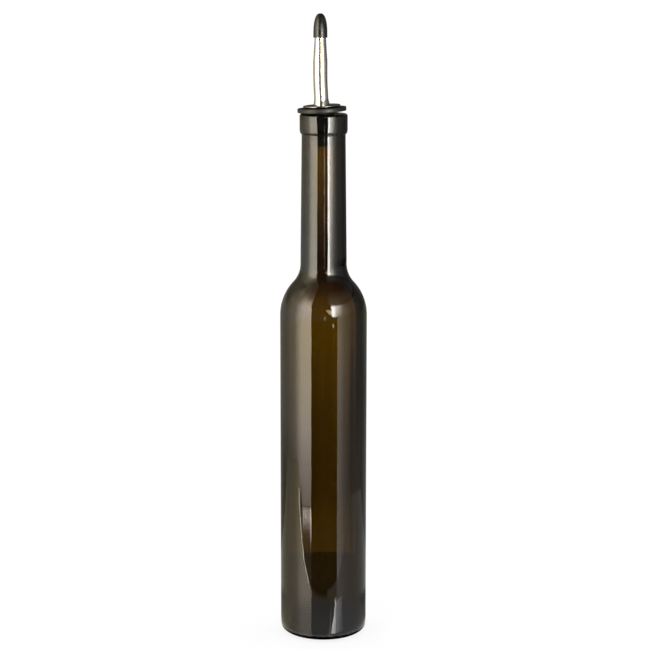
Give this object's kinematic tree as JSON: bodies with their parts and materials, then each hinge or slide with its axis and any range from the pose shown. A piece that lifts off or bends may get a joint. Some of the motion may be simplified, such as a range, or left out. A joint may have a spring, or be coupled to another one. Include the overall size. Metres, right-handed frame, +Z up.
{
  "type": "oil cruet",
  "caption": "Tall slender dark glass bottle with a banded mouth and a push-in pourer: black stopper, metal plate, steel spout and black tip cap.",
  "frame": {"origin": "centre of the ring the bottle stands on, on the surface it stands on", "axes": "+Z up along the bottle's axis; -Y faces the viewer; the pourer leans slightly towards -X"},
  "size_m": [0.0534, 0.0534, 0.3837],
  "materials": {
    "glass": "smooth dark olive-amber glass, see-through as deep brown where nothing reflects in it",
    "stopper": "black satin rubber",
    "steel_plate": "pressed stainless steel, satin",
    "steel": "polished stainless steel",
    "tip_cap": "black soft plastic with a low sheen"
  },
  "bodies": {
    "root": {"bottle": "glass", "stopper": "stopper", "spout_plate": "steel_plate", "spout": "steel", "tip_cap": "tip_cap"}
  },
  "joints": []
}
